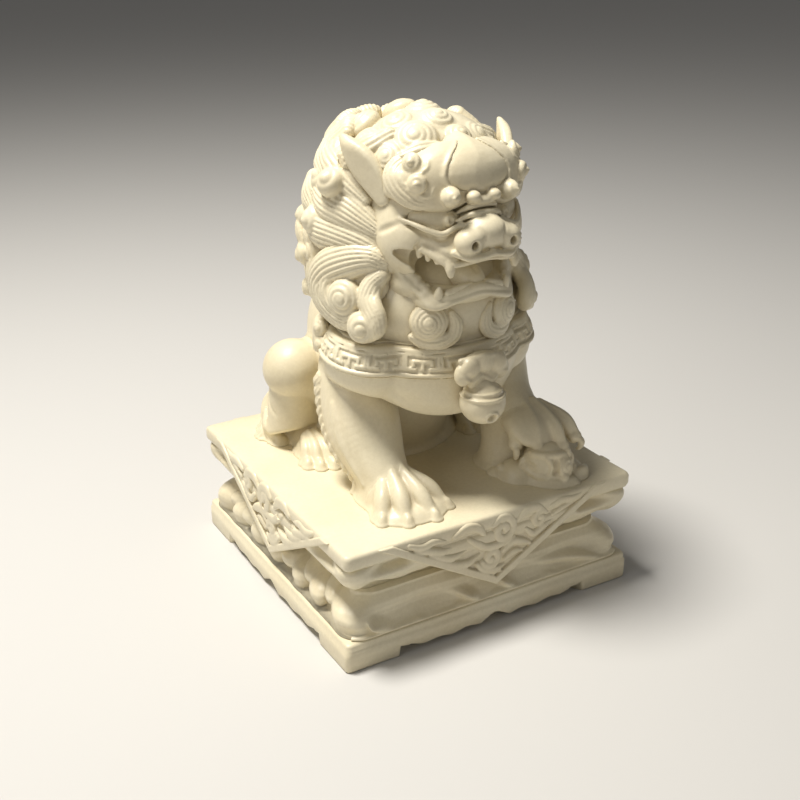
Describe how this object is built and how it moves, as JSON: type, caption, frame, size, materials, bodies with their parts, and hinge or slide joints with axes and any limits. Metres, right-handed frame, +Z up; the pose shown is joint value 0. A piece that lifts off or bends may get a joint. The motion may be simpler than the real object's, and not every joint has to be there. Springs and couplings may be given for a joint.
{
  "type": "foo dog statue",
  "caption": "Seated guardian lion with an open mouth, curled mane, belled collar and a cub under its left paw, on a square pedestal draped with carved cloth.",
  "frame": {"origin": "middle of the pedestal's underside, on the surface it stands on", "axes": "+Z up, the lion faces -Y, its right-hand side is -X and its raised left paw is on the +X side"},
  "size_m": [0.2024, 0.2024, 0.2981],
  "materials": {
    "plinth": "satin ivory",
    "lower_tier": "satin ivory",
    "upper_moulding": "satin ivory",
    "top_slab": "satin ivory",
    "cloth_panel_front": "satin ivory",
    "cloth_panel_left": "satin ivory",
    "cloth_panel_back": "satin ivory",
    "cloth_panel_right": "satin ivory",
    "torso": "satin ivory",
    "right_foreleg": "satin ivory",
    "left_foreleg": "satin ivory",
    "right_fore_paw": "satin ivory",
    "left_fore_paw": "satin ivory",
    "right_hind_leg": "satin ivory",
    "left_hind_leg": "satin ivory",
    "right_hind_paw": "satin ivory",
    "left_hind_paw": "satin ivory",
    "tail": "satin ivory",
    "cub": "satin ivory",
    "collar": "satin ivory",
    "collar_plate": "satin ivory",
    "bell": "satin ivory",
    "head": "satin ivory",
    "lower_jaw": "satin ivory",
    "tongue": "satin ivory",
    "nose": "satin ivory",
    "forehead": "satin ivory",
    "right_upper_teeth": "satin ivory",
    "left_upper_teeth": "satin ivory",
    "right_lower_teeth": "satin ivory",
    "left_lower_teeth": "satin ivory",
    "right_eye": "satin ivory",
    "left_eye": "satin ivory",
    "right_brow": "satin ivory",
    "left_brow": "satin ivory",
    "right_ear": "satin ivory",
    "left_ear": "satin ivory",
    "right_beard_curl": "satin ivory",
    "left_beard_curl": "satin ivory",
    "right_mane_scroll": "satin ivory",
    "left_mane_scroll": "satin ivory",
    "crown_curls": "satin ivory",
    "right_mane_side": "satin ivory",
    "left_mane_side": "satin ivory",
    "mane_back": "satin ivory"
  },
  "bodies": {
    "root": {"plinth": "plinth", "lower_tier": "lower_tier", "upper_moulding": "upper_moulding", "top_slab": "top_slab", "cloth_panel_front": "cloth_panel_front", "cloth_panel_left": "cloth_panel_left", "cloth_panel_back": "cloth_panel_back", "cloth_panel_right": "cloth_panel_right", "torso": "torso", "right_foreleg": "right_foreleg", "left_foreleg": "left_foreleg", "right_fore_paw": "right_fore_paw", "left_fore_paw": "left_fore_paw", "right_hind_leg": "right_hind_leg", "left_hind_leg": "left_hind_leg", "right_hind_paw": "right_hind_paw", "left_hind_paw": "left_hind_paw", "tail": "tail", "cub": "cub", "collar": "collar", "collar_plate": "collar_plate", "bell": "bell", "head": "head", "lower_jaw": "lower_jaw", "tongue": "tongue", "nose": "nose", "forehead": "forehead", "right_upper_teeth": "right_upper_teeth", "left_upper_teeth": "left_upper_teeth", "right_lower_teeth": "right_lower_teeth", "left_lower_teeth": "left_lower_teeth", "right_eye": "right_eye", "left_eye": "left_eye", "right_brow": "right_brow", "left_brow": "left_brow", "right_ear": "right_ear", "left_ear": "left_ear", "right_beard_curl": "right_beard_curl", "left_beard_curl": "left_beard_curl", "right_mane_scroll": "right_mane_scroll", "left_mane_scroll": "left_mane_scroll", "crown_curls": "crown_curls", "right_mane_side": "right_mane_side", "left_mane_side": "left_mane_side", "mane_back": "mane_back"}
  },
  "joints": []
}
